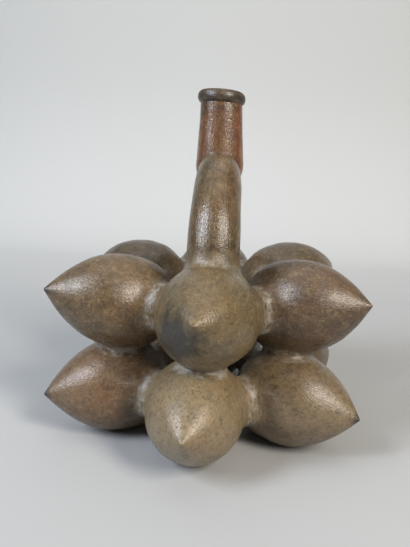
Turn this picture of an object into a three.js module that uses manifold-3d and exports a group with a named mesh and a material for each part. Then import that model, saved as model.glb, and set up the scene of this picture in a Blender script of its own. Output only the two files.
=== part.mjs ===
// A stirrup-spout bottle of fired clay. Two rings of pointed hollow pods are joined wall to wall,
// and an arched tube stands on the front and back pods of the upper ring and carries the spout.
// Millimetres, +Z up, the front pod towards -Y, the floor at z = 0.

import * as THREE from 'three';
import { mergeVertices } from 'three/addons/utils/BufferGeometryUtils.js';
import Module from 'manifold-3d';

const wasm = await Module();
wasm.setup();

// The pods: a round blunt end towards the middle of the vessel and a pointed end outwards
const podRadius = 26;
const podInnerLength = 26.8;
const podOuterLength = 44.2;
const podTaper = 2.25;
const podWall = 4.5;
const tipThickness = 9;

// The rings: where the pods stand, and how they are pressed together and joined
const podSpacing = 1.5;
const tierPress = 2.7;
const footFlat = 0.5;
const lutingRadius = 12;
const lutingSpread = 3.5;
const lutingWall = 1.2;
const lutingThin = 1;
const passageRadius = 4;
const joinGap = 0.3;

// The stirrup: a tube bent to half a circle, with a flared clay collar round each foot
const legRadius = 13.3;
const legWall = 4.6;
const legInset = 9.9;
const springDrop = 2.5;
const legRoot = 7;
const neckHeight = 5;
const neckDepth = 9;
const neckSpread = 7.4;
const neckEdge = 0.8;
const stirrupShift = 2.3;
const stirrupTurn = 0;

// The spout: widest just above the stirrup, narrower at the top, with a rolled lip
const spoutBaseRadius = 13.3;
const spoutTopRadius = 11.3;
const spoutWall = 3.6;
const spoutHeight = 28.8;
const spoutShoulder = 8;
const lipRadius = 13.6;
const lipHeight = 6.6;

// The potter's hand: how far each pod of a ring is off its even place, going round from the front
// pod by the left. Degrees for turn, aim and pitch, millimetres for rise and reach.
const podPlaces = ['front', 'front_left', 'back_left', 'back', 'back_right', 'front_right'];
const upperHand = {
  turn: [-2, -1, 2, 0, -2, -3],
  aim: [8, 3, 0, 0, -2, 6],
  pitch: [10, 12, 6, 5, 15, 11],
  rise: [0, -1, 0, 0, 2, 0],
  reach: [1, 0, -1, 0, 0, -1],
};
const lowerHand = {
  turn: [3, 1, 1, 0, -1, 4],
  aim: [1, -2, 0, 0, 1, 1],
  pitch: [5, 0, 1, 2, 0, 0],
  rise: [0, 0, 0, 0, 0, 0],
  reach: [0, 0, 0, 0, 0, 0],
};

// Facets
const podSides = 16;
const cavitySides = 10;
const lutingSides = 12;
const tubeSides = 16;
const passageSides = 8;

// Sizes that follow from these
const podCount = podPlaces.length;
const ringRadius = (2 * podRadius + podSpacing) / (2 * Math.sin(Math.PI / podCount));
const lowerHeight = podRadius - footFlat;
const upperHeight = lowerHeight + 2 * podRadius - tierPress;
const archRadius = ringRadius - legInset;
const springHeight = upperHeight + podRadius - springDrop;
const crownHeight = springHeight + archRadius;
const spoutTop = crownHeight + legRadius + spoutHeight;
const spoutBore = spoutTopRadius - spoutWall;
const legBore = legRadius - legWall;

const degrees = THREE.MathUtils.degToRad;

// A closed three.js geometry as a solid: shared corners are merged, faces without area dropped
function toSolid(geometry) {
  geometry.deleteAttribute('normal');
  geometry.deleteAttribute('uv');
  const merged = mergeVertices(geometry, 1e-3);
  const corners = merged.index.array;
  const faces = [];
  for (let i = 0; i < corners.length; i += 3) {
    const [a, b, c] = corners.slice(i, i + 3);
    if (a !== b && b !== c && c !== a) faces.push(a, b, c);
  }
  const mesh = new wasm.Mesh({
    numProp: 3,
    vertProperties: merged.attributes.position.array,
    triVerts: new Uint32Array(faces),
  });
  return new wasm.Manifold(mesh);
}

function toGeometry(solid) {
  const mesh = solid.getMesh();
  const geometry = new THREE.BufferGeometry();
  geometry.setAttribute('position', new THREE.BufferAttribute(mesh.vertProperties, 3));
  geometry.setIndex(new THREE.BufferAttribute(mesh.triVerts, 1));
  geometry.computeVertexNormals();
  return geometry;
}

function moved(solid, matrix) {
  return solid.transform(matrix.elements);
}

// The largest body of a luting: where its thin edge crosses the pods' facets, crumbs are left over
function wiped(solid) {
  return solid.decompose().reduce((large, body) => (body.volume() > large.volume() ? body : large));
}

// The frame at a point whose Y axis runs along a direction, with its Z axis kept as high as it goes
function frameAlong(point, direction) {
  const along = direction.clone().normalize();
  const high = Math.abs(along.z) > 0.9 ? new THREE.Vector3(0, -1, 0) : new THREE.Vector3(0, 0, 1);
  const across = along.clone().cross(high).normalize();
  const frame = new THREE.Matrix4().makeBasis(across, along, across.clone().cross(along));
  return frame.setPosition(point);
}

// A pod's outer form or its cavity, along +Y: half an ellipse, then a falling power curve
function podForm(radius, innerLength, outerLength, sides) {
  const points = [];
  const innerSteps = Math.round(sides / 4);
  const outerSteps = Math.round(sides / 3);
  for (let i = 0; i < innerSteps; i += 1) {
    const angle = (Math.PI / 2) * (i / innerSteps);
    points.push(new THREE.Vector2(radius * Math.sin(angle), -innerLength * Math.cos(angle)));
  }
  for (let i = 0; i <= outerSteps; i += 1) {
    const along = i / outerSteps;
    points.push(new THREE.Vector2(radius * (1 - along ** podTaper), outerLength * along));
  }
  points[0].x = 0;
  points[points.length - 1].x = 0;
  return toSolid(new THREE.LatheGeometry(points, sides));
}

// Where a pod's middle lies, and which way its point looks
function podSeat(hand, index, height) {
  const place = degrees((360 / podCount) * index + hand.turn[index]);
  const heading = place + degrees(hand.aim[index]);
  const pitch = degrees(hand.pitch[index]);
  const reach = ringRadius + hand.reach[index];
  const middle = new THREE.Vector3(
    -reach * Math.sin(place),
    -reach * Math.cos(place),
    height + hand.rise[index],
  );
  const aim = new THREE.Vector3(
    -Math.sin(heading) * Math.cos(pitch),
    -Math.cos(heading) * Math.cos(pitch),
    Math.sin(pitch),
  );
  return { middle, frame: frameAlong(middle, aim) };
}

// A straight round hole from one pod's middle to another's
function passage(from, to, radius = passageRadius) {
  const length = from.distanceTo(to);
  const rod = toSolid(new THREE.CylinderGeometry(radius, radius, length, passageSides));
  const middle = from.clone().add(to).multiplyScalar(0.5);
  return moved(rod, frameAlong(middle, to.clone().sub(from)));
}

// What lies past the plane half way to a neighbour, where two wet pods press each other flat
function pressedAway(from, to) {
  const side = 6 * podRadius;
  const start = (from.distanceTo(to) - joinGap) / 2;
  const toward = to.clone().sub(from).normalize();
  const middle = from.clone().addScaledVector(toward, start + side / 2);
  return moved(toSolid(new THREE.BoxGeometry(side, side, side)), frameAlong(middle, toward));
}

// How far from the line between two pods' middles they are still too close for a wall of luting clay
function closeReach(frame, pods) {
  const disc = new THREE.CylinderGeometry(podRadius, podRadius, lutingThin, 2 * lutingSides);
  const close = moved(toSolid(disc), frame).intersect(pods);
  const points = moved(close, frame.clone().invert()).getMesh().vertProperties;
  let reach = 0;
  for (let i = 0; i < points.length; i += 3) {
    reach = Math.max(reach, Math.hypot(points[i], points[i + 2]));
  }
  return reach;
}

// The luting between two pods: a waisted ring of clay round the line that joins their middles, wide
// enough to close round the place where they nearly touch. Its hole is the passage, or the flat
// where the two pods press on each other, if that is wider.
function lutingRing(first, second) {
  const from = first.middle;
  const to = second.middle;
  const middle = from.clone().add(to).multiplyScalar(0.5);
  const frame = frameAlong(middle, to.clone().sub(from));
  const pods = moved(podClear, first.frame).add(moved(podClear, second.frame));
  const halfway = from.distanceTo(to) / 2;
  const waist = Math.max(lutingRadius, closeReach(frame, pods) + lutingWall);
  // Two lutings a quarter turn apart on one pod keep clear of each other
  const widest = podRadius * Math.SQRT1_2 - 2 * joinGap;
  const spread = Math.min(waist + lutingSpread, widest);
  const half = halfway - Math.sqrt(podRadius ** 2 - spread ** 2);
  const pressedFlat = Math.sqrt(Math.max(0, podRadius ** 2 - halfway ** 2));
  const steps = 4;
  const points = [new THREE.Vector2(0, -half)];
  for (let i = 0; i <= steps; i += 1) {
    const along = (2 * i) / steps - 1;
    const radius = waist + (spread - waist) * along ** 2;
    points.push(new THREE.Vector2(radius, half * along));
  }
  points.push(new THREE.Vector2(0, half));
  const disc = moved(toSolid(new THREE.LatheGeometry(points, lutingSides)), frame);
  const hole = passage(from, to, Math.max(passageRadius, pressedFlat));
  return { frame, solid: wiped(disc.subtract(hole).subtract(pods)) };
}

// The middle line of half the stirrup: straight up from below its foot, then a quarter circle
class StirrupLine extends THREE.Curve {
  constructor(root, stop) {
    super();
    this.root = root;
    this.stop = stop;
  }

  getPoint(t, target = new THREE.Vector3()) {
    const reach = (Math.PI / 2) * archRadius - this.stop;
    const travel = t * (this.root + reach) - this.root;
    const angle = Math.max(travel, 0) / archRadius;
    const height = archRadius * Math.sin(angle) + Math.min(travel, 0);
    return target.set(0, -archRadius * Math.cos(angle), height);
  }
}

function tube(radius, root, stop) {
  const section = new THREE.Shape();
  section.absarc(0, 0, radius, 0, 2 * Math.PI, false);
  const line = new StirrupLine(root, stop);
  const geometry = new THREE.ExtrudeGeometry(section, {
    steps: 10,
    curveSegments: tubeSides / 2,
    extrudePath: line,
  });
  return toSolid(geometry);
}

// The clay collar round a foot of the stirrup, flared down onto the pod
function neckRing() {
  const steps = 5;
  const top = legRadius + neckEdge;
  const points = [new THREE.Vector2(0, -neckDepth)];
  for (let i = 0; i <= steps; i += 1) {
    const along = i / steps;
    const radius = top + (neckSpread - neckEdge) * (1 - along) ** 2;
    points.push(new THREE.Vector2(radius, -neckDepth + (neckDepth + neckHeight) * along));
  }
  points.push(new THREE.Vector2(0, neckHeight));
  return toSolid(new THREE.LatheGeometry(points, tubeSides));
}

// The spout's wall: it draws in under a low bulge, down over the stirrup's sides
function spoutWallSolid() {
  const steps = 5;
  const bulge = crownHeight + spoutShoulder;
  const inner = spoutBore;
  const points = [
    new THREE.Vector2(inner, crownHeight),
    new THREE.Vector2(spoutBaseRadius - 0.08 * spoutShoulder, crownHeight),
  ];
  for (let i = 0; i <= steps; i += 1) {
    const along = i / steps;
    const ease = along ** 1.2;
    const radius = spoutBaseRadius + (spoutTopRadius - spoutBaseRadius) * ease;
    points.push(new THREE.Vector2(radius, bulge + (spoutTop - bulge) * along));
  }
  points.push(new THREE.Vector2(inner, spoutTop));
  points.push(points[0].clone());
  return toSolid(new THREE.LatheGeometry(points, tubeSides));
}

// The lip: a roll of clay on the spout's end, flat where it sits and round over its edge
function lipSolid() {
  const seat = spoutTop + joinGap;
  const steps = 5;
  const points = [
    new THREE.Vector2(spoutBore, seat),
    new THREE.Vector2(spoutTopRadius, seat),
  ];
  const halfWidth = (lipRadius - spoutBore) / 2;
  const halfHeight = lipHeight / 2;
  for (let i = 0; i <= steps; i += 1) {
    const angle = -Math.PI / 4 + (1.25 * Math.PI * i) / steps;
    const radius = spoutBore + halfWidth * (1 + Math.cos(angle));
    points.push(new THREE.Vector2(radius, seat + halfHeight * (1 + Math.sin(angle))));
  }
  points.push(points[0].clone());
  return toSolid(new THREE.LatheGeometry(points, tubeSides));
}

const vessel = new THREE.Group();

function addPiece(name, solid, frame, color, roughness) {
  const local = moved(solid, frame.clone().invert());
  const material = new THREE.MeshStandardMaterial({ color, roughness, metalness: 0 });
  const mesh = new THREE.Mesh(toGeometry(local), material);
  mesh.name = name;
  frame.decompose(mesh.position, mesh.quaternion, mesh.scale);
  vessel.add(mesh);
}

const seats = {
  upper: podPlaces.map((place, index) => podSeat(upperHand, index, upperHeight)),
  lower: podPlaces.map((place, index) => podSeat(lowerHand, index, lowerHeight)),
};

const podBody = podForm(podRadius, podInnerLength, podOuterLength, podSides);
const podCavity = podForm(
  podRadius - podWall,
  podInnerLength - podWall,
  podOuterLength - tipThickness,
  cavitySides,
);
const podClear = podForm(
  podRadius + joinGap,
  podInnerLength + joinGap,
  podOuterLength + joinGap,
  podSides,
);

// The stirrup's own frame, at the height where its arch springs, and the same turned to the back
const stirrupFrames = [0, 180].map((turn) => {
  const matrix = new THREE.Matrix4().makeRotationZ(degrees(stirrupTurn + turn));
  return matrix.setPosition(stirrupShift, 0, springHeight);
});
const legBody = tube(legRadius, legRoot, joinGap / 2);
const legClear = tube(legRadius + joinGap, 3 * legRoot, -joinGap);
const legChannel = tube(legBore, 3 * legRoot, -joinGap);
const footFrame = new THREE.Matrix4().compose(
  new THREE.Vector3(0, -archRadius, 0),
  new THREE.Quaternion().setFromAxisAngle(new THREE.Vector3(1, 0, 0), Math.PI / 2),
  new THREE.Vector3(1, 1, 1),
);
const spoutFrame = new THREE.Matrix4().makeRotationX(Math.PI / 2).setPosition(stirrupShift, 0, 0);
const floor = toSolid(new THREE.BoxGeometry(8 * ringRadius, 8 * ringRadius, podRadius));
const underFloor = moved(floor, new THREE.Matrix4().makeTranslation(0, 0, -podRadius / 2));

// The pods: each hollow, pressed flat against its neighbours, pierced where it is luted
const podColors = {
  upper: ['#8d7b58', '#8a6f52', '#6f6252', '#6b6154', '#75695a', '#6a5a50'],
  lower: ['#857553', '#776851', '#6b6154', '#665c50', '#6e6353', '#6f604f'],
};
for (const tier of ['upper', 'lower']) {
  podPlaces.forEach((place, index) => {
    const seat = seats[tier][index];
    const other = seats[tier === 'upper' ? 'lower' : 'upper'][index];
    const next = seats[tier][(index + 1) % podCount];
    const before = seats[tier][(index + podCount - 1) % podCount];
    let pod = moved(podBody.subtract(podCavity), seat.frame);
    for (const neighbour of [next, before, other]) {
      pod = pod.subtract(pressedAway(seat.middle, neighbour.middle));
      pod = pod.subtract(passage(seat.middle, neighbour.middle));
    }
    if (tier === 'lower') pod = pod.subtract(underFloor);
    if (tier === 'upper' && index % (podCount / 2) === 0) {
      pod = pod.subtract(moved(legChannel, stirrupFrames[index === 0 ? 0 : 1]));
    }
    addPiece(`${tier}_${place}_pod`, pod, seat.frame, podColors[tier][index], 0.45);
  });
}

// The stirrup's two halves and their collars
const necks = [];
['front', 'back'].forEach((place, index) => {
  const frame = stirrupFrames[index];
  const pod = moved(podClear, seats.upper[index === 0 ? 0 : podCount / 2].frame);
  const mouth = toSolid(new THREE.CylinderGeometry(spoutBore, spoutBore, 4 * legRadius, tubeSides));
  const over = spoutFrame.clone().setPosition(stirrupShift, 0, crownHeight + 2 * legRadius);
  const leg = moved(legBody.subtract(legChannel), frame).subtract(pod).subtract(moved(mouth, over));
  addPiece(`stirrup_${place}_leg`, leg, frame, '#7c6a52', 0.5);
  const foot = frame.clone().multiply(footFrame);
  const collar = moved(neckRing(), foot);
  necks.push(collar);
  const neck = wiped(collar.subtract(moved(legClear, frame)).subtract(pod));
  addPiece(`stirrup_${place}_luting`, neck, foot, '#a39885', 0.7);
});

// The lutings between neighbours in each ring, and between the two rings
for (const tier of ['upper', 'lower']) {
  podPlaces.forEach((place, index) => {
    const after = (index + 1) % podCount;
    const ring = lutingRing(seats[tier][index], seats[tier][after]);
    let luting = ring.solid;
    if (tier === 'upper') {
      for (const collar of necks) luting = wiped(luting.subtract(collar));
    }
    addPiece(`${tier}_luting_${place}_to_${podPlaces[after]}`, luting, ring.frame, '#8e8371', 0.7);
  });
}
podPlaces.forEach((place, index) => {
  const ring = lutingRing(seats.lower[index], seats.upper[index]);
  addPiece(`tier_luting_${place}`, ring.solid, ring.frame, '#8e8371', 0.7);
});

// The spout and its lip
const saddle = stirrupFrames.map((frame) => moved(legClear, frame));
const spout = moved(spoutWallSolid(), spoutFrame).subtract(saddle[0]).subtract(saddle[1]);
addPiece('spout', spout, spoutFrame, '#8a6552', 0.4);
addPiece('spout_lip', moved(lipSolid(), spoutFrame), spoutFrame, '#3d332b', 0.55);

// The origin is the middle of the vessel's box, on the floor
const box = new THREE.Box3().setFromObject(vessel, true);
const middle = box.getCenter(new THREE.Vector3());
vessel.position.set(-middle.x, -middle.y, 0);

export default vessel;
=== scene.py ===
# The looks of a stirrup-spout bottle of burnished, smoke-darkened earthenware.
# Metres, +Z up, the front pod towards -Y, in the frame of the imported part.

import math

import bpy
import numpy as np
from mathutils import Matrix, Vector


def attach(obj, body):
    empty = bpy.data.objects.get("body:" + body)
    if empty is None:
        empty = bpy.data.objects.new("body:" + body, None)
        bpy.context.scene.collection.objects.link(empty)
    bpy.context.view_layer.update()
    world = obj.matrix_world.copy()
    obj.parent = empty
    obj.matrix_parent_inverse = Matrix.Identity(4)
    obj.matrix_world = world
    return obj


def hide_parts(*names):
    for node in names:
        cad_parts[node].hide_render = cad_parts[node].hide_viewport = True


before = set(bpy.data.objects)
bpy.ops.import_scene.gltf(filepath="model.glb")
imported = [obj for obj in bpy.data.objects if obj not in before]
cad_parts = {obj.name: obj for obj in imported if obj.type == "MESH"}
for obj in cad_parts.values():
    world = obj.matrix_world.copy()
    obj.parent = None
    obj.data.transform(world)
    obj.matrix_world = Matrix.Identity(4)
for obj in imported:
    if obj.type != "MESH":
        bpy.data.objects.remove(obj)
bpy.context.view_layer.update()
mm = 0.001


# The view: a hand-held camera a little above the upper ring of pods, close enough that the near pods
# look larger than the far ones, and tilted so that upright lines lean to the right.
image_height = 547
focal_pixels = 500
camera_azimuth = math.radians(2.3)
camera_elevation = math.radians(13.0)
camera_roll = math.radians(2.4)
camera_distance = 302 * mm
aim_right_pixels = -5.7
aim_up_pixels = 18.7
upper_height = 74.8 * mm


def unit(vectors):
    """Vectors divided by their lengths."""
    vectors = np.asarray(vectors, float)
    return vectors / np.linalg.norm(vectors, axis=-1, keepdims=True)


def camera_matrix():
    """The camera's place and turn: it stands off from the upper ring's middle, looks a little past
    it by the aim in pixels, and is rolled about its own line of sight."""
    across = math.cos(camera_elevation)
    back = np.array([
        math.sin(camera_azimuth) * across,
        -math.cos(camera_azimuth) * across,
        math.sin(camera_elevation),
    ])
    right = unit(np.cross(-back, [0, 0, 1]))
    up = np.cross(right, -back)
    sight = unit(-back * focal_pixels + right * aim_right_pixels + up * aim_up_pixels)
    right = unit(np.cross(sight, [0, 0, 1]))
    up = np.cross(right, sight)
    rolled_right = right * math.cos(camera_roll) + up * math.sin(camera_roll)
    rolled_up = -right * math.sin(camera_roll) + up * math.cos(camera_roll)
    place = np.array([0, 0, upper_height]) + back * camera_distance
    matrix = np.identity(4)
    matrix[:3, :3] = np.stack([rolled_right, rolled_up, -sight], axis=1)
    matrix[:3, 3] = place
    return Matrix(matrix.tolist())


camera_data = bpy.data.cameras.new("camera")
camera_data.sensor_width = 36
camera_data.lens = focal_pixels * camera_data.sensor_width / image_height
camera_data.clip_start = 0.01
camera = bpy.data.objects.new("camera", camera_data)
camera.matrix_world = camera_matrix()
bpy.context.scene.collection.objects.link(camera)
bpy.context.scene.camera = camera
bpy.context.scene.view_settings.view_transform = "Standard"


# The studio: a pale grey sheet of matt paper that curves up behind the bottle, lit by two soft lamps
# from the front left and front right, by a wide weak one overhead, and by the room.
paper_hex = "a4a6a7"
paper_fibre_hex = "9fa1a2"
# The bend's and the wall's colours are painted light: lighter than the floor's, in place of lamp light
# that falls off across the sheet.
bend_painted_light_hex = "cdcfcf"
wall_painted_light_hex = "c1c3c2"
sky_hex = "cdd2d2"
sky_strength = 0.19
sheet_half_width = 1.6
sheet_front = -1.2
sheet_back = 0.55
sheet_bend = 0.35
sheet_top = 1.8
smooth_limit = math.radians(55)


def linear(hex_colour):
    """An sRGB hex colour as linear red, green and blue with alpha 1: each channel is divided by
    12.92 when dark, and otherwise shifted, scaled and raised to 2.4."""
    channels = np.array([int(hex_colour[i:i + 2], 16) / 255 for i in (0, 2, 4)])
    curved = ((channels + 0.055) / 1.055) ** 2.4
    return (*np.where(channels <= 0.04045, channels / 12.92, curved), 1.0)


def add_node(tree, kind, settings=None, **links):
    """Adds a node. Settings are its properties, and links are values or output sockets for its
    inputs, by name with underscores for spaces, or by place as in_0."""
    node = tree.nodes.new(kind)
    for key, value in (settings or {}).items():
        setattr(node, key, value)
    for key, value in links.items():
        name = int(key[3:]) if key.startswith("in_") else key.replace("_", " ")
        socket = node.inputs[name]
        if isinstance(value, bpy.types.NodeSocket):
            tree.links.new(value, socket)
        else:
            socket.default_value = value
    return node


def new_material(name):
    """A new material with an empty node tree, and that tree's output node."""
    material = bpy.data.materials.new(name)
    material.use_nodes = True
    material.node_tree.nodes.clear()
    output = material.node_tree.nodes.new("ShaderNodeOutputMaterial")
    return material, material.node_tree, output


def grid_mesh(name, grid, around=True, ends="fan", attributes=None):
    """A mesh over a grid of points, rows by columns. Columns close on themselves when around is true.
    Ends: fan closes the first and last row to a point in their middle, ring joins the last row to the
    first, and open leaves them. Faces are turned outwards by the sign of the volume."""
    rows, columns = grid.shape[:2]
    points = grid.reshape(-1, 3)
    index = np.arange(rows * columns).reshape(rows, columns)
    if around:
        index = np.concatenate([index, index[:, :1]], axis=1)
    if ends == "ring":
        index = np.concatenate([index, index[:1]], axis=0)
    quads = np.stack([index[:-1, :-1], index[:-1, 1:], index[1:, 1:], index[1:, :-1]], axis=-1)
    quads = quads.reshape(-1, 4)
    fans = np.zeros((0, 3), int)
    values = {}
    for key, value in (attributes or {}).items():
        values[key] = np.asarray(value, float).reshape(len(points), -1)
    if ends == "fan":
        points = np.concatenate([points, grid[:1].mean(axis=1), grid[-1:].mean(axis=1)])
        first, last = len(points) - 2, len(points) - 1
        low = np.stack([index[0, 1:], index[0, :-1], np.full(columns, first)], axis=-1)
        high = np.stack([index[-1, :-1], index[-1, 1:], np.full(columns, last)], axis=-1)
        fans = np.concatenate([low, high])
        for key, value in values.items():
            table = value.reshape(rows, columns, -1)
            values[key] = np.concatenate([value, table[:1].mean(axis=1), table[-1:].mean(axis=1)])
    if ends != "open":
        halves = np.concatenate([quads[:, [0, 1, 2]], quads[:, [0, 2, 3]], fans])
        a, b, c = (points[halves[:, i]] for i in range(3))
        if np.einsum("ij,ij->i", a, np.cross(b, c)).sum() < 0:
            quads = quads[:, ::-1]
            fans = fans[:, ::-1]
    mesh = bpy.data.meshes.new(name)
    mesh.vertices.add(len(points))
    mesh.vertices.foreach_set("co", points.astype(np.float32).ravel())
    loops = np.concatenate([quads.ravel(), fans.ravel()]).astype(np.int32)
    sizes = np.concatenate([np.full(len(quads), 4), np.full(len(fans), 3)])
    starts = np.concatenate([[0], np.cumsum(sizes)[:-1]]).astype(np.int32)
    mesh.loops.add(len(loops))
    mesh.loops.foreach_set("vertex_index", loops)
    mesh.polygons.add(len(sizes))
    mesh.polygons.foreach_set("loop_start", starts)
    mesh.polygons.foreach_set("use_smooth", np.ones(len(sizes), bool))
    for key, value in values.items():
        kind = "FLOAT_VECTOR" if value.shape[1] == 3 else "FLOAT"
        layer = mesh.attributes.new(key, kind, "POINT")
        field = "vector" if kind == "FLOAT_VECTOR" else "value"
        layer.data.foreach_set(field, value.astype(np.float32).ravel())
    mesh.update(calc_edges=True)
    mesh.validate()
    mesh.set_sharp_from_angle(angle=smooth_limit)
    piece = bpy.data.objects.new(name, mesh)
    bpy.context.scene.collection.objects.link(piece)
    return piece


def studio_sheet():
    """The sheet's section runs flat from the front, turns up by a quarter circle and rises."""
    turn = np.linspace(0, math.pi / 2, 24)
    flat = np.linspace(sheet_front, sheet_back, 12)[:-1]
    rise = np.linspace(sheet_bend, sheet_top, 8)[1:]
    bend = sheet_back + sheet_bend * np.sin(turn)
    depth = np.concatenate([flat, bend, np.full(len(rise), sheet_back + sheet_bend)])
    height = np.concatenate([np.zeros(len(flat)), sheet_bend * (1 - np.cos(turn)), rise])
    across = np.linspace(-sheet_half_width, sheet_half_width, 9)
    grid = np.zeros((len(depth), len(across), 3))
    grid[..., 0] = across[None, :]
    grid[..., 1] = depth[:, None]
    grid[..., 2] = height[:, None]
    return grid_mesh("paper_sheet", grid, around=False, ends="open")


paper, tree, output = new_material("matt_grey_paper")
texture = add_node(tree, "ShaderNodeTexCoord")
fibre = add_node(tree, "ShaderNodeTexNoise", Vector=texture.outputs["Object"], Scale=9.0, Detail=3.0)
shade = add_node(tree, "ShaderNodeMix", {"data_type": "RGBA"}, in_0=fibre.outputs["Fac"],
                 in_6=linear(paper_hex), in_7=linear(paper_fibre_hex))
parts = add_node(tree, "ShaderNodeSeparateXYZ", Vector=texture.outputs["Object"])
# Painted light: the sheet's colour turns lighter from the floor towards the bend and stays lighter than
# the floor up the wall, standing in for the fall of lamp light across it.
rising = add_node(tree, "ShaderNodeMapRange", {"interpolation_type": "SMOOTHSTEP"},
                  Value=parts.outputs["Y"], From_Min=0.1, From_Max=0.75)
risen = add_node(tree, "ShaderNodeMapRange", {"interpolation_type": "SMOOTHSTEP"},
                 Value=parts.outputs["Z"], From_Min=0.02, From_Max=0.5)
shade = add_node(tree, "ShaderNodeMix", {"data_type": "RGBA"}, in_0=rising.outputs["Result"],
                 in_6=shade.outputs[2], in_7=linear(bend_painted_light_hex))
shade = add_node(tree, "ShaderNodeMix", {"data_type": "RGBA"}, in_0=risen.outputs["Result"],
                 in_6=shade.outputs[2], in_7=linear(wall_painted_light_hex))
matt = add_node(tree, "ShaderNodeBsdfPrincipled", Base_Color=shade.outputs[2], Roughness=0.9)
tree.links.new(matt.outputs["BSDF"], output.inputs["Surface"])
sheet = studio_sheet()
sheet.data.materials.append(paper)

world = bpy.data.worlds.new("room")
bpy.context.scene.world = world
world.use_nodes = True
background = world.node_tree.nodes["Background"]
background.inputs["Color"].default_value = linear(sky_hex)
background.inputs["Strength"].default_value = sky_strength


def soft_lamp(name, place, target, width, height, power, hex_colour):
    """A square-edged soft lamp that looks at a point."""
    data = bpy.data.lights.new(name, "AREA")
    data.shape = "RECTANGLE"
    data.size = width
    data.size_y = height
    data.energy = power
    data.color = linear(hex_colour)[:3]
    lamp = bpy.data.objects.new(name, data)
    lamp.location = place
    lamp.rotation_mode = "QUATERNION"
    lamp.rotation_quaternion = (Vector(place) - Vector(target)).to_track_quat("Z", "Y")
    bpy.context.scene.collection.objects.link(lamp)


lamp_target = (0, 0, 0.09)
soft_lamp("lamp_left", (-0.85, -0.55, 0.75), lamp_target, 0.32, 0.6, 17, "eef4ff")
soft_lamp("lamp_right", (0.75, -0.75, 0.8), lamp_target, 0.32, 0.6, 19.2, "fff5e8")
soft_lamp("lamp_above", (0, 0.1, 1.3), lamp_target, 1.2, 1.0, 4.5, "ffffff")


# The pods: twelve hollow forms of brown earthenware, each pinched and scraped to a point, burnished
# with a pebble along its length while leather hard, and clouded grey where smoke lay on it in firing.
pod_radius = 26 * mm
pod_inner_length = 26.8 * mm
pod_outer_length = 44.2 * mm
pod_taper = 2.25
pod_fullness = 2.25
pod_spacing = 1.5 * mm
tip_round = 0.9 * mm
broad_swell = 0.32 * mm
small_swell = 0.10 * mm
pressed_depth = 0.1 * mm
ring_radius = 2 * pod_radius + pod_spacing
lower_height = 25.5 * mm
vessel_middle = np.array([0.27, 0.04, 0]) * mm
pod_places = ["front", "front_left", "back_left", "back", "back_right", "front_right"]
# Degrees of turn, aim and pitch and millimetres of rise and reach, as in the part
upper_hand = np.array([
    [-2, 8, 10, 0, 1],
    [-1, 3, 12, -1, 0],
    [2, 0, 6, 0, -1],
    [0, 0, 5, 0, 0],
    [-2, -2, 15, 2, 0],
    [-3, 6, 11, 0, -1],
])
lower_hand = np.array([
    [3, 1, 5, 0, 0],
    [1, -2, 0, 0, 0],
    [1, 0, 1, 0, 0],
    [0, 0, 2, 0, 0],
    [-1, 1, 0, 0, 0],
    [4, 1, 0, 0, 0],
])


class Pod:
    """One pod's middle and its own axes: along to the point, side, and high."""

    def __init__(self, name, hand, index, height, seed):
        turn, aim, pitch, rise, reach = hand[index]
        place = math.radians(60 * index + turn)
        heading = place + math.radians(aim)
        pitch = math.radians(pitch)
        out = ring_radius + reach * mm
        self.name = name
        self.seed = seed
        self.middle = vessel_middle + np.array([
            -out * math.sin(place),
            -out * math.cos(place),
            height + rise * mm,
        ])
        self.along = np.array([
            -math.sin(heading) * math.cos(pitch),
            -math.cos(heading) * math.cos(pitch),
            math.sin(pitch),
        ])
        self.side = unit(np.cross(self.along, [0, 0, 1]))
        self.high = np.cross(self.side, self.along)
        self.axes = np.stack([self.along, self.side, self.high])


def waves(points, seed, length, count=14):
    """Smooth random rises and hollows from -1 to 1: a sum of plane waves of about one length, each
    with its own direction and phase, over the square root of their number."""
    random = np.random.default_rng(seed)
    directions = unit(random.normal(size=(count, 3)))
    sizes = 2 * math.pi / (length * random.uniform(0.7, 1.5, count))
    phases = random.uniform(0, 2 * math.pi, count)
    total = np.sin((points @ directions.T) * sizes + phases).sum(axis=-1)
    return total / math.sqrt(count)


def pod_profile(x):
    """A pod's radius at x along it: a full round end behind the middle, and in front of it the radius
    times one less x over the length to the taper's power, with the very point rounded off."""
    inner_share = np.abs(x / pod_inner_length)
    behind = pod_radius * np.clip(1 - inner_share ** pod_fullness, 0, 1) ** (1 / pod_fullness)
    share = np.clip(x / pod_outer_length, 0, 1)
    ahead = pod_radius * (1 - share ** pod_taper)
    rounded = np.sqrt(ahead ** 2 + 2 * tip_round * ahead) - tip_round * ahead / (ahead + tip_round)
    return np.where(x < 0, behind, rounded)


def hand_marks(pod, local):
    """How far the hand-built wall stands off the true form: broad swells and smaller scraped flats,
    less a constant, times the root of one less the distance along the pod over its outer length."""
    fade = np.clip(1 - np.abs(local[..., 0]) / pod_outer_length, 0, 1) ** 0.5
    broad = broad_swell * waves(local, pod.seed, 42 * mm)
    small = small_swell * waves(local, pod.seed + 50, 13 * mm)
    return (broad + small - pressed_depth) * fade


def outside(pod, points):
    """How far points lie outside a pod's wall, measured square to its axis."""
    local = (points - pod.middle) @ pod.axes.T
    off_axis = np.linalg.norm(local[..., 1:], axis=-1)
    x = local[..., 0]
    past_ends = np.maximum(0, np.maximum(x - pod_outer_length, -pod_inner_length - x))
    return off_axis - pod_profile(x) - hand_marks(pod, local) + past_ends


def meet_wall(pod, starts, direction, reach):
    """Where lines from inside a pod leave its wall, by halving the step between in and out."""
    low = np.zeros(starts.shape[:-1])
    high = np.full(starts.shape[:-1], reach)
    for _ in range(26):
        half = (low + high) / 2
        inside = outside(pod, starts + half[..., None] * direction) < 0
        low = np.where(inside, half, low)
        high = np.where(inside, high, half)
    return starts + low[..., None] * direction


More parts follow.
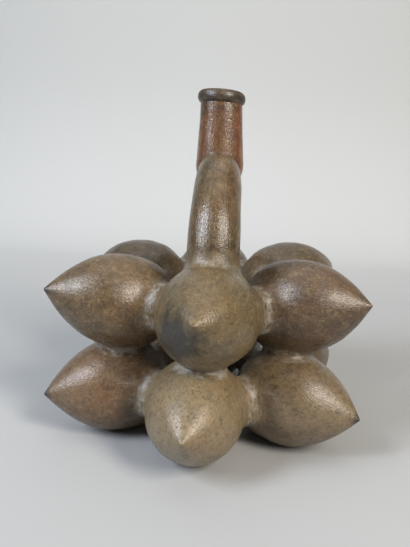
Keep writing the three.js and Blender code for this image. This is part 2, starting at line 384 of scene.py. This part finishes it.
class Joint:
    """The luting between two pods: its middle, its axis from one to the other, and two cross axes."""

    def __init__(self, name, first, second, seed):
        self.name = name
        self.first = first
        self.second = second
        self.seed = seed
        self.apart = np.linalg.norm(second.middle - first.middle)
        self.middle = (first.middle + second.middle) / 2
        self.axis = unit(second.middle - first.middle)
        helper = [0, 0, 1] if abs(self.axis[2]) < 0.7 else [0, 1, 0]
        self.side = unit(np.cross(self.axis, helper))
        self.high = np.cross(self.side, self.axis)


upper_pods = []
lower_pods = []
for i, place in enumerate(pod_places):
    upper_pods.append(Pod(f"upper_{place}_pod", upper_hand, i, upper_height, 11 + i))
    lower_pods.append(Pod(f"lower_{place}_pod", lower_hand, i, lower_height, 31 + i))
joints = []
for tier, pods in (("upper", upper_pods), ("lower", lower_pods)):
    for i, place in enumerate(pod_places):
        after = (i + 1) % 6
        name = f"{tier}_luting_{place}_to_{pod_places[after]}"
        joints.append(Joint(name, pods[i], pods[after], len(joints) + 101))
for i, place in enumerate(pod_places):
    joints.append(Joint(f"tier_luting_{place}", lower_pods[i], upper_pods[i], len(joints) + 101))
joint_edge = 17.5 * mm
bloom_radius = 15 * mm
bloom_half_height = 1.2 * mm
bloom_reach = 2.2 * mm


def near_joints(points):
    """How close points lie to the hollow of any luting: 1 on a short drum about the luting's axis, and
    outside it falling off as e to minus the square of the distance over the reach."""
    close = np.zeros(points.shape[:-1])
    for joint in joints:
        offset = points - joint.middle
        height = offset @ joint.axis
        radius = np.linalg.norm(offset - height[..., None] * joint.axis, axis=-1)
        past_side = np.maximum(0, radius - bloom_radius)
        past_end = np.maximum(0, np.abs(height) - bloom_half_height)
        close = np.maximum(close, np.exp(-(np.hypot(past_side, past_end) / bloom_reach) ** 2))
    return close


# Smoke clouds, each a place on the vessel in millimetres, a size and a strength
smoke_clouds = [
    ((-15, -92, 71), 16, 1.1),
    ((-20, -84, 62), 13, 1.0),
    ((-72, -45, 72), 8, 0.5),
    ((-30, -22, 84), 14, 0.55),
    ((-62, 30, 90), 20, 0.4),
    ((74, -30, 96), 10, 0.35),
    ((-4, -72, 8), 12, 0.25),
    ((60, 52, 20), 18, 0.5),
    ((-20, 88, 74), 18, 0.6),
    ((18, 84, 22), 16, 0.5),
    ((-70, 40, 24), 14, 0.6),
]
# Three of the points are dark at the very tip
for pod in (upper_pods[1], lower_pods[1], lower_pods[5]):
    tip = pod.middle + pod.along * pod_outer_length
    smoke_clouds.append((tuple(tip / mm), 5, 0.7))


def smoke(points):
    """Soft round clouds about each place, the strongest one counting at any point."""
    total = np.zeros(points.shape[:-1])
    for place, size, strength in smoke_clouds:
        away = np.linalg.norm(points - np.array(place) * mm, axis=-1)
        total = np.maximum(total, strength * np.exp(-(away / (size * mm)) ** 2))
    return total


def pod_grid(pod):
    """Rows from the round end to the point and columns around: the profile turned about the pod's
    axis, with the hand marks added, flattened where it presses on a neighbour and on the floor."""
    columns = 176
    turned = -np.cos(np.linspace(0, math.pi / 2, 46)[1:-1]) * pod_inner_length
    ahead = pod_outer_length * (1 - (1 - np.linspace(0, 1, 92)[:-1]) ** 1.35)
    x = np.concatenate([turned, ahead])[:, None] + np.zeros((1, columns))
    angle = np.linspace(0, 2 * math.pi, columns, endpoint=False)[None, :]
    radius = pod_profile(x)
    local = np.stack([x, radius * np.cos(angle), radius * np.sin(angle)], axis=-1)
    radius = radius + hand_marks(pod, local)
    local = np.stack([x, radius * np.cos(angle), radius * np.sin(angle)], axis=-1)
    points = pod.middle + local @ pod.axes
    for joint in joints:
        if pod in (joint.first, joint.second):
            toward = joint.axis if pod is joint.first else -joint.axis
            past = (points - pod.middle) @ toward - joint.apart / 2 + pressed_depth
            points = points - np.maximum(0, past)[..., None] * toward
    points[..., 2] = np.maximum(points[..., 2], 0)
    return points, local


def clay_attributes(points, grain):
    """What the clay's material reads: the grain's own coordinates, and how near the lutings and in
    which smoke cloud a point lies."""
    return {"grain": grain, "crease": near_joints(points), "smoke": smoke(points)}


dry_clay_hex = "806e51"
rubbed_hex = "7c6e56"
dark_grit_hex = "2f251e"
pale_grit_hex = "8f8069"
straw_hex = "8a7a58"
pale_fleck_hex = "b9ad95"
# The soot colour darkens both the smoke clouds and the lip's painted shade.
soot_and_shade_hex = "1d1b1a"
mineral_bloom_hex = "88857d"
clay_ior = 1.5
waxy_coat = 0.22
waxy_coat_roughness = 0.24
stroke_depth = 0.34 * mm


def fired_clay(name, tones, polish=0.30, streak_length=26, deposit=0.85, other=None):
    """Burnished earthenware: two clay tones in broad patches, darker mottling, fine burnishing
    strokes along the grain, pits, smoke clouds and pale mineral bloom in the joints.
    The eye sees a soft waxy shine broken by the strokes and dead matt bloom. The tones are the
    body, its warm patches and its shadow, and run over into the other tones where they are given.
    The size of each noise is given in millimetres."""
    material, tree, output = new_material(name)
    place = add_node(tree, "ShaderNodeTexCoord").outputs["Object"]
    grain = add_node(tree, "ShaderNodeAttribute", {"attribute_name": "grain"}).outputs["Vector"]
    crease = add_node(tree, "ShaderNodeAttribute", {"attribute_name": "crease"}).outputs["Fac"]
    smoke_and_shade = add_node(tree, "ShaderNodeAttribute", {"attribute_name": "smoke"}).outputs["Fac"]

    def noise(vector, size_mm, detail, roughness=0.55, distortion=0.0):
        return add_node(tree, "ShaderNodeTexNoise", Vector=vector, Scale=1 / (size_mm * mm),
                        Detail=detail, Roughness=roughness, Distortion=distortion).outputs["Fac"]

    def ramp(value, low, high, to_low=0.0, to_high=1.0):
        return add_node(tree, "ShaderNodeMapRange", {"interpolation_type": "SMOOTHSTEP"}, Value=value,
                        From_Min=low, From_Max=high, To_Min=to_low, To_Max=to_high).outputs["Result"]

    def math_node(operation, a, b):
        return add_node(tree, "ShaderNodeMath", {"operation": operation}, in_0=a, in_1=b).outputs[0]

    def mix(factor, a, b, blend="MIX"):
        return add_node(tree, "ShaderNodeMix", {"data_type": "RGBA", "blend_type": blend},
                        in_0=factor, in_6=a, in_7=b).outputs[2]

    body, warm, shadow = (linear(tone) for tone in tones)
    if other:
        toward = add_node(tree, "ShaderNodeAttribute", {"attribute_name": "toward"}).outputs["Fac"]
        body, warm, shadow = (mix(toward, linear(a), linear(b)) for a, b in zip(tones, other))
    stretched = add_node(tree, "ShaderNodeMapping", Vector=grain,
                         Scale=(1 / streak_length, 1, 1)).outputs["Vector"]
    strokes = noise(stretched, 0.9, 4, 0.68)
    wide_strokes = noise(stretched, 3.0, 2, 0.5)
    patches = noise(place, 30, 3, 0.5, 0.6)
    mottling = noise(place, 7, 5, 0.62)
    speckle = noise(place, 1.1, 3, 0.6)
    grit = noise(place, 2.6, 4, 0.7)
    flecks = noise(place, 0.6, 2, 0.5)
    pits = noise(place, 2.4, 2, 0.5)

    colour = mix(ramp(patches, 0.38, 0.62), body, warm)
    colour = mix(ramp(mottling, 0.47, 0.76, 0, 0.55), colour, shadow)
    colour = mix(ramp(mottling, 0.47, 0.28, 0, 0.30), colour, linear(dry_clay_hex))
    colour = mix(ramp(strokes, 0.30, 0.62, 0.36, 0), colour, shadow)
    colour = mix(ramp(wide_strokes, 0.50, 0.75, 0, 0.18), colour, linear(rubbed_hex))
    colour = mix(ramp(speckle, 0.55, 0.72, 0, 0.62), colour, linear(dark_grit_hex))
    colour = mix(ramp(speckle, 0.42, 0.28, 0, 0.34), colour, linear(pale_grit_hex))
    colour = mix(ramp(grit, 0.52, 0.66, 0, 0.42), colour, shadow)
    colour = mix(ramp(grit, 0.46, 0.34, 0, 0.30), colour, linear(straw_hex))
    fleck = math_node("MULTIPLY", ramp(flecks, 0.66, 0.72), ramp(mottling, 0.60, 0.44, 0, 0.5))
    colour = mix(fleck, colour, linear(pale_fleck_hex))
    # The smoke value mixes in real smoke clouds and, on the lip, painted shade: darker below the lip's
    # crest and lighter on it.
    ragged = math_node("MULTIPLY", math_node("SUBTRACT", mottling, 0.5), 0.9)
    uneven_smoke_and_shade = math_node("ADD", smoke_and_shade, ragged)
    smoke_and_shade_mask = math_node("MULTIPLY", ramp(uneven_smoke_and_shade, 0.2, 0.72), ramp(smoke_and_shade, 0.02, 0.2))
    colour = mix(math_node("MULTIPLY", smoke_and_shade_mask, 0.92), colour, linear(soot_and_shade_hex))
    bloom_noise = math_node("ADD", math_node("MULTIPLY", noise(place, 4.2, 6, 0.7), 0.7),
                            math_node("MULTIPLY", strokes, 0.3))
    bloom = math_node("MULTIPLY", ramp(crease, 0.25, 1.0), ramp(bloom_noise, 0.44, 0.60))
    bloom = math_node("MULTIPLY", bloom, deposit)
    colour = mix(bloom, colour, linear(mineral_bloom_hex))

    shine = ramp(strokes, 0.3, 0.7, polish + 0.10, polish - 0.05)
    shine = math_node("ADD", shine, ramp(mottling, 0.4, 0.7, 0.0, 0.10))
    shine = math_node("ADD", shine, math_node("MULTIPLY", bloom, 0.35))
    height = math_node("ADD", math_node("MULTIPLY", strokes, 0.6), math_node("MULTIPLY", mottling, 0.5))
    height = math_node("ADD", height, ramp(pits, 0.30, 0.24, 0, -1.2))
    height = math_node("ADD", height, math_node("MULTIPLY", speckle, 0.5))
    bump = add_node(tree, "ShaderNodeBump", Strength=0.9, Distance=stroke_depth, Height=height)
    clay = add_node(tree, "ShaderNodeBsdfPrincipled", Base_Color=colour, Roughness=shine,
                    IOR=clay_ior, Coat_Weight=waxy_coat, Coat_Roughness=waxy_coat_roughness,
                    Coat_Normal=bump.outputs["Normal"], Normal=bump.outputs["Normal"])
    tree.links.new(clay.outputs["BSDF"], output.inputs["Surface"])
    return material


pod_tones = {
    "upper_front_pod": ("5e5138", "665436", "2d251a"),
    "upper_front_left_pod": ("57462f", "634c2f", "241c12"),
    "upper_back_left_pod": ("4e412e", "574530", "282017"),
    "upper_back_pod": ("4a3f2f", "51422e", "272119"),
    "upper_back_right_pod": ("524632", "574531", "2b2319"),
    "upper_front_right_pod": ("4c3c2a", "59422c", "221911"),
    "lower_front_pod": ("796b53", "806e52", "3e3425"),
    "lower_front_left_pod": ("64513c", "6c5138", "2b2319"),
    "lower_back_left_pod": ("4a3f2e", "51432e", "272017"),
    "lower_back_pod": ("4a3f2f", "51422e", "272119"),
    "lower_back_right_pod": ("4c402f", "55452f", "292218"),
    "lower_front_right_pod": ("70614c", "75634a", "33291e"),
}
for pod in upper_pods + lower_pods:
    points, local = pod_grid(pod)
    piece = grid_mesh(f"{pod.name}_wall", points, attributes=clay_attributes(points, local))
    piece.data.materials.append(fired_clay(f"burnished_earthenware_{pod.name}", pod_tones[pod.name]))
    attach(piece, "root")
    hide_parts(pod.name)


# The lutings: a coil of soft clay pressed in where two pods touch and smoothed onto both walls with a
# wet finger, so it has no edge of its own. Pale mineral bloom has gathered in the hollow.
luting_waist = 13.2 * mm
passage_radius = 4 * mm
finger_radius = 16 * mm
edge_wander = 0.9 * mm
waist_wander = 0.45 * mm


def curve_between(start, start_pull, end, end_pull, steps):
    """A cubic curve from start to end that leaves along one pull and arrives against the other."""
    t = np.linspace(0, 1, steps)[:, None, None]
    return ((1 - t) ** 3 * start + 3 * (1 - t) ** 2 * t * (start + start_pull)
            + 3 * (1 - t) * t ** 2 * (end + end_pull) + t ** 3 * end)


def luting_grid(joint):
    """Columns around the joint's axis. Rows cross from one pod's wall to the other by a curve that is
    flush with both and waisted between, then come back along the two walls to the passage's edge.
    The curve's middle lies in from its ends by three eighths of both pulls' inward parts together,
    and this gives the length of the pulls."""
    angle = np.linspace(0, 2 * math.pi, 128, endpoint=False)
    radial = np.cos(angle)[:, None] * joint.side + np.sin(angle)[:, None] * joint.high
    edge = joint_edge + edge_wander * waves(radial * finger_radius, joint.seed, 22 * mm, 8)
    waist = luting_waist + waist_wander * waves(radial * finger_radius, joint.seed + 60, 14 * mm, 8)

    def wall(pod, toward, radius):
        starts = pod.middle + radius[:, None] * radial
        return meet_wall(pod, starts, toward, 2 * pod_radius)

    nudge = 0.6 * mm
    ends, pulls = [], []
    for pod, toward in ((joint.first, joint.axis), (joint.second, -joint.axis)):
        at_edge = wall(pod, toward, edge)
        pull = wall(pod, toward, edge - nudge) - at_edge
        ends.append(at_edge)
        pulls.append(unit(pull))
    inward = sum(-np.einsum("ij,ij->i", pull, radial) for pull in pulls)
    reach = ((edge - waist) * 8 / 3 / inward)[:, None]
    outer = curve_between(ends[0], pulls[0] * reach, ends[1], pulls[1] * reach, 26)
    flat = math.sqrt(max(0, pod_radius ** 2 - (joint.apart / 2) ** 2))
    hole = max(passage_radius, flat + 0.6 * mm)
    back = []
    for pod, toward, share in ((joint.second, -joint.axis, np.linspace(0.12, 1, 7)),
                               (joint.first, joint.axis, np.linspace(1, 0.12, 7))):
        for s in share:
            back.append(wall(pod, toward, edge + (hole - edge) * s))
    return np.concatenate([outer, np.stack(back)]), angle


for joint in joints:
    points, angle = luting_grid(joint)
    rows = np.linspace(-1, 1, len(points))[:, None] * 8 * mm + 0 * angle[None, :]
    around = angle[None, :] * joint_edge + 0 * rows
    grain = np.stack([around, rows, 0 * rows], axis=-1)
    found = clay_attributes(points, grain)
    across = ((points - joint.middle) @ joint.axis) / (12 * mm) + 0.5
    found["toward"] = np.clip(across, 0, 1)
    piece = grid_mesh(f"{joint.name}_clay", points, ends="ring", attributes=found)
    first_tones = pod_tones[joint.first.name]
    second_tones = pod_tones[joint.second.name]
    piece.data.materials.append(
        fired_clay(f"smoothed_clay_{joint.name}", first_tones, 0.36, 6, 0.8, second_tones))
    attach(piece, "root")
    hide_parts(joint.name)


# The stirrup: a tube of clay bent to half a circle, in two halves that meet under the spout. It is
# a little thicker at the feet than at the crown, and burnished lengthwise.
arch_radius = 43.6 * mm
spring_height = 98.3 * mm
foot_thickness = 13.5 * mm
crown_thickness = 12.2 * mm
stirrup_shift = 2.3 * mm
leg_root = 5 * mm
saddle_start = 32 * mm
saddle_run = 22 * mm
saddle_rise = 4.2 * mm
saddle_sharpness = 2.5
tube_swell = 0.22 * mm


def stirrup_axes(back):
    """Across, out towards the foot, and up, for the front half or for the back half."""
    turn = math.pi if back else 0
    across = np.array([math.cos(turn), math.sin(turn), 0])
    outward = np.array([math.sin(turn), -math.cos(turn), 0])
    return across, outward, np.array([0, 0, 1.0])


def stirrup_ring(back, travel, angle):
    """Points of a half's wall: travel runs up from the foot and round the arch to the crown, and
    angle runs about the tube from its outer side. Near the crown the outer side rises by a smooth
    step to meet the spout, most along the middle line."""
    across, outward, high = stirrup_axes(back)
    bend = np.clip(travel, 0, None) / arch_radius
    centre = (vessel_middle + np.array([stirrup_shift, 0, spring_height])
              + (arch_radius * np.cos(bend))[..., None] * outward
              + (arch_radius * np.sin(bend) + np.minimum(travel, 0))[..., None] * high)
    away = np.cos(bend)[..., None] * outward + np.sin(bend)[..., None] * high
    radius = foot_thickness + (crown_thickness - foot_thickness) * (bend / (math.pi / 2)) ** 1.5
    round_tube = np.cos(angle)[..., None] * away + np.sin(angle)[..., None] * across
    point = centre + radius[..., None] * round_tube
    uneven = tube_swell * waves(point, 71 + back, 30 * mm) * np.cos(bend) ** 0.5
    rise = np.clip((bend * arch_radius - saddle_start) / saddle_run, 0, 1)
    step = rise * rise * (3 - 2 * rise)
    saddle = saddle_rise * step * np.clip(np.cos(angle), 0, 1) ** saddle_sharpness
    return point + (uneven + saddle)[..., None] * unit(point - centre)


def leg_attributes(points, travel, angle):
    """The leg's grain runs along it, and it takes a quarter of the bloom that the pods take."""
    tube_side = crown_thickness * np.cos(angle)
    tube_across = crown_thickness * np.sin(angle)
    found = clay_attributes(points, np.stack([travel, tube_side, tube_across], axis=-1))
    found["crease"] = 0.25 * found["crease"]
    return found


stirrup_tones = ("51432b", "5b452a", "20180e")
stirrup_clay = fired_clay("burnished_earthenware_stirrup", stirrup_tones, 0.24, 40)
for back, name in enumerate(("stirrup_front_leg", "stirrup_back_leg")):
    travel = np.linspace(-leg_root, arch_radius * math.pi / 2, 150)[:, None] + np.zeros((1, 128))
    angle = np.linspace(0, 2 * math.pi, 128, endpoint=False)[None, :] + 0 * travel
    points = stirrup_ring(back, travel, angle)
    piece = grid_mesh(f"{name}_tube", points, attributes=leg_attributes(points, travel, angle))
    piece.data.materials.append(stirrup_clay)
    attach(piece, "root")
    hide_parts(name)


# The neck lutings: soft clay worked up from each carrying pod onto the foot of the stirrup, so that
# tube and pod flow into each other, and rubbed pale at the waist.
neck_top = 8 * mm
neck_foot = 18.8 * mm
neck_top_pull = 0.60
neck_foot_pull = 0.30
neck_run = 40 * mm


def neck_grid(back):
    """Columns around the foot. Rows run down from the tube to the pod by a curve flush with both,
    then back along the pod's wall and up the tube's."""
    pod = upper_pods[3 if back else 0]
    across, outward, high = stirrup_axes(back)
    angle = np.linspace(0, 2 * math.pi, 144, endpoint=False)
    radial = np.cos(angle)[:, None] * outward + np.sin(angle)[:, None] * across
    base = vessel_middle + np.array([stirrup_shift, 0, upper_height]) + arch_radius * outward

    def tube(height):
        return stirrup_ring(back, np.full(angle.shape, height), angle)

    def wall(radius):
        return meet_wall(pod, base + radius[:, None] * radial, high, 2 * pod_radius)

    spread = neck_foot + 0.5 * mm * waves(radial * 20 * mm, 91 + back, 26 * mm, 8)
    top = tube(neck_top)
    foot = wall(spread)
    down = unit(tube(neck_top - 1 * mm) - top)
    inward = unit(wall(spread - 0.6 * mm) - foot)
    drop = np.linalg.norm(top - foot, axis=-1)[:, None]
    outer = curve_between(top, down * drop * neck_top_pull, foot, inward * drop * neck_foot_pull, 44)
    under = [wall(spread + (foot_thickness - spread) * s) for s in np.linspace(0.1, 1, 8)]
    corner = under[-1]
    up_again = [corner + (top - corner) * s for s in np.linspace(0.25, 0.9, 4)]
    return np.concatenate([outer, np.stack(under), np.stack(up_again)]), angle


for back, name in enumerate(("stirrup_front_luting", "stirrup_back_luting")):
    points, angle = neck_grid(back)
    down = np.linspace(0, neck_run, len(points))[:, None] + 0 * angle[None, :]
    neck_side = neck_foot * np.cos(angle) + 0 * down
    neck_across = neck_foot * np.sin(angle) + 0 * down
    found = clay_attributes(points, np.stack([down, neck_side, neck_across], axis=-1))
    # The rubbed waist lies two fifths of the way along the rows
    waist = np.exp(-((np.linspace(0, 1, len(points)) - 0.42) / 0.2) ** 2)[:, None]
    found["crease"] = np.maximum(found["crease"], 0.75 * waist + 0 * angle[None, :])
    found["toward"] = np.clip(np.linspace(0, 2.2, len(points)), 0, 1)[:, None] + 0 * angle[None, :]
    piece = grid_mesh(f"{name}_clay", points, ends="ring", attributes=found)
    carrier = upper_pods[3 if back else 0]
    piece.data.materials.append(fired_clay(
        f"smoothed_clay_{name}", stirrup_tones, 0.40, 24, 1.0, pod_tones[carrier.name]))
    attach(piece, "root")
    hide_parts(name)


# The spout: a thrown-up tube of redder clay that stands astride the crown of the stirrup. It swells
# low down, tucks in over the stirrup's sides, and is burnished upright to the best shine of all.
spout_top = 184.0 * mm
spout_bulge = 150.5 * mm
spout_low = 142.0 * mm
spout_bulge_radius = 13.6 * mm
spout_top_radius = 11.6 * mm
spout_tuck = 1.9 * mm
spout_bore = 7.7 * mm
spout_swell = 0.12 * mm
spout_tones = ("77452f", "64452b", "2a1b12")
seam_reach = 1.3 * mm
smoke_low = 166 * mm
spout_middle = vessel_middle + np.array([stirrup_shift - 0.2 * mm, 0, 0])
spout_lean = -0.012


def spout_radius(height):
    """Above the bulge the radius falls evenly to the top, below it by a parabola."""
    rise = np.clip((height - spout_bulge) / (spout_top - spout_bulge), 0, 1)
    above = spout_bulge_radius + (spout_top_radius - spout_bulge_radius) * rise ** 0.8
    below = spout_bulge_radius - spout_tuck * ((spout_bulge - height) / (spout_bulge - spout_low)) ** 2
    return np.where(height < spout_bulge, below, above)


def spout_point(angle, height, radius):
    """A point of the spout's wall."""
    across = np.cos(angle) * radius + spout_lean * (height - spout_low)
    return spout_middle + np.stack([across, np.sin(angle) * radius, height], axis=-1)


def saddle_height(angle, radius_of):
    """How low the wall comes before it meets the stirrup's round back, by halving."""
    low = np.full(angle.shape, spout_low)
    high = np.full(angle.shape, spout_bulge + 20 * mm)
    across, outward, _ = stirrup_axes(False)
    for _ in range(26):
        half = (low + high) / 2
        point = spout_point(angle, half, radius_of(half)) - spout_middle
        ring = np.hypot(point @ outward, point[..., 2] - spring_height) - arch_radius
        out = np.hypot(ring, point @ across)
        upright = np.clip(ring / np.maximum(out, 1e-6), 0, 1)
        rise = saddle_rise * upright ** saddle_sharpness
        clear = out - crown_thickness - rise > 0
        high = np.where(clear, half, high)
        low = np.where(clear, low, half)
    return high


def spout_grid():
    """Rows run down the outside to the saddle line, then up the bore."""
    angle = np.linspace(0, 2 * math.pi, 160, endpoint=False)
    outer_foot = saddle_height(angle, spout_radius)
    inner_foot = saddle_height(angle, lambda height: np.full(height.shape, spout_bore))
    share = np.linspace(0, 1, 90)[:, None]
    height = spout_top + (outer_foot - spout_top) * share
    around = angle[None, :] + 0 * height
    outer = spout_point(around, height, spout_radius(height))
    outward = unit((outer - spout_middle) * [1, 1, 0])
    outer = outer + spout_swell * waves(outer, 81, 24 * mm)[..., None] * outward
    rise = np.linspace(0, 1, 20)[:, None]
    inner_height = inner_foot + (spout_top - inner_foot) * rise
    inner = spout_point(angle[None, :] + 0 * inner_height, inner_height, spout_bore + 0 * inner_height)
    return np.concatenate([outer, inner]), around, height - outer_foot, inner_height


points, around, above_seam, inner_height = spout_grid()
grain = np.stack([points[..., 2], points[..., 0], points[..., 1]], axis=-1)
found = clay_attributes(points, grain)
seam = np.concatenate([np.exp(-(above_seam / seam_reach) ** 2), 0 * inner_height])
found["crease"] = np.maximum(0.2 * found["crease"], 0.8 * seam)
top_smoke = np.clip((points[..., 2] - smoke_low) / (spout_top - smoke_low), 0, 1)
found["smoke"] = np.maximum(found["smoke"], 0.5 * top_smoke)
piece = grid_mesh("spout_tube", points, ends="ring", attributes=found)
piece.data.materials.append(fired_clay("burnished_red_earthenware_spout", spout_tones, 0.20, 60, 0.6))
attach(piece, "root")
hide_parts("spout")


# The lip: a thin coil laid on the spout's end and pressed out over it, so that it overhangs. It is
# blackened by smoke and by handling, and is painted darker below its crest and lighter on it as
# painted shade and painted light.
lip_low = 183.9 * mm
lip_thick = 6.9 * mm
lip_radius = 13.5 * mm
lip_tilt = math.radians(2.4)
lip_squareness = 0.95
lip_waver = 0.25 * mm
lip_tones = ("3a2c1d", "49361f", "150f0a")


def lip_grid():
    """A section close to an ellipse, its cosine and sine each raised to a power a little under one,
    turned about the spout's axis and tilted; its outline wavers as pressed clay does."""
    section = np.linspace(0, 2 * math.pi, 48, endpoint=False)
    half_width = (lip_radius - spout_bore) / 2
    sideways = np.sign(np.cos(section)) * np.abs(np.cos(section)) ** lip_squareness
    upwards = np.sign(np.sin(section)) * np.abs(np.sin(section)) ** lip_squareness
    radius = spout_bore + half_width * (1 + sideways)
    height = lip_low + lip_thick / 2 * (1 + upwards)
    angle = np.linspace(0, 2 * math.pi, 160, endpoint=False)
    points = spout_point(angle[None, :] + 0 * radius[:, None], height[:, None] + 0 * angle[None, :],
                         radius[:, None] + 0 * angle[None, :])
    outward = np.stack([np.cos(angle), np.sin(angle), 0 * angle], axis=-1)[None]
    waver = np.minimum(0, waves(points, 83, 16 * mm) - 1) * np.clip(np.cos(section), 0, 1)[:, None]
    points = points + lip_waver * waver[..., None] * outward
    points[..., 2] -= (points[..., 0] - spout_middle[0] + lip_radius) * math.tan(lip_tilt)
    return points, section, angle


points, section, angle = lip_grid()
around = angle[None, :] * lip_radius + 0 * section[:, None]
grain = np.stack([around, points[..., 2], 0 * points[..., 2]], axis=-1)
found = clay_attributes(points, grain)
found["crease"] = 0 * found["crease"]
# Half the lip's smoke value is smoke darkening all round. The rest is painted light and shade: it is
# lowered on the crest of the section, so the lip's top is painted lighter and its underside painted
# darker.
crest = np.clip(np.sin(section), 0, 1)[:, None] ** 2
found["smoke"] = 0.5 - 0.4 * crest + 0 * angle[None, :]
piece = grid_mesh("spout_lip_coil", points, ends="ring", attributes=found)
piece.data.materials.append(fired_clay("smoked_and_shaded_earthenware_lip", lip_tones, 0.34, 12, 0.3))
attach(piece, "root")
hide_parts("spout_lip")
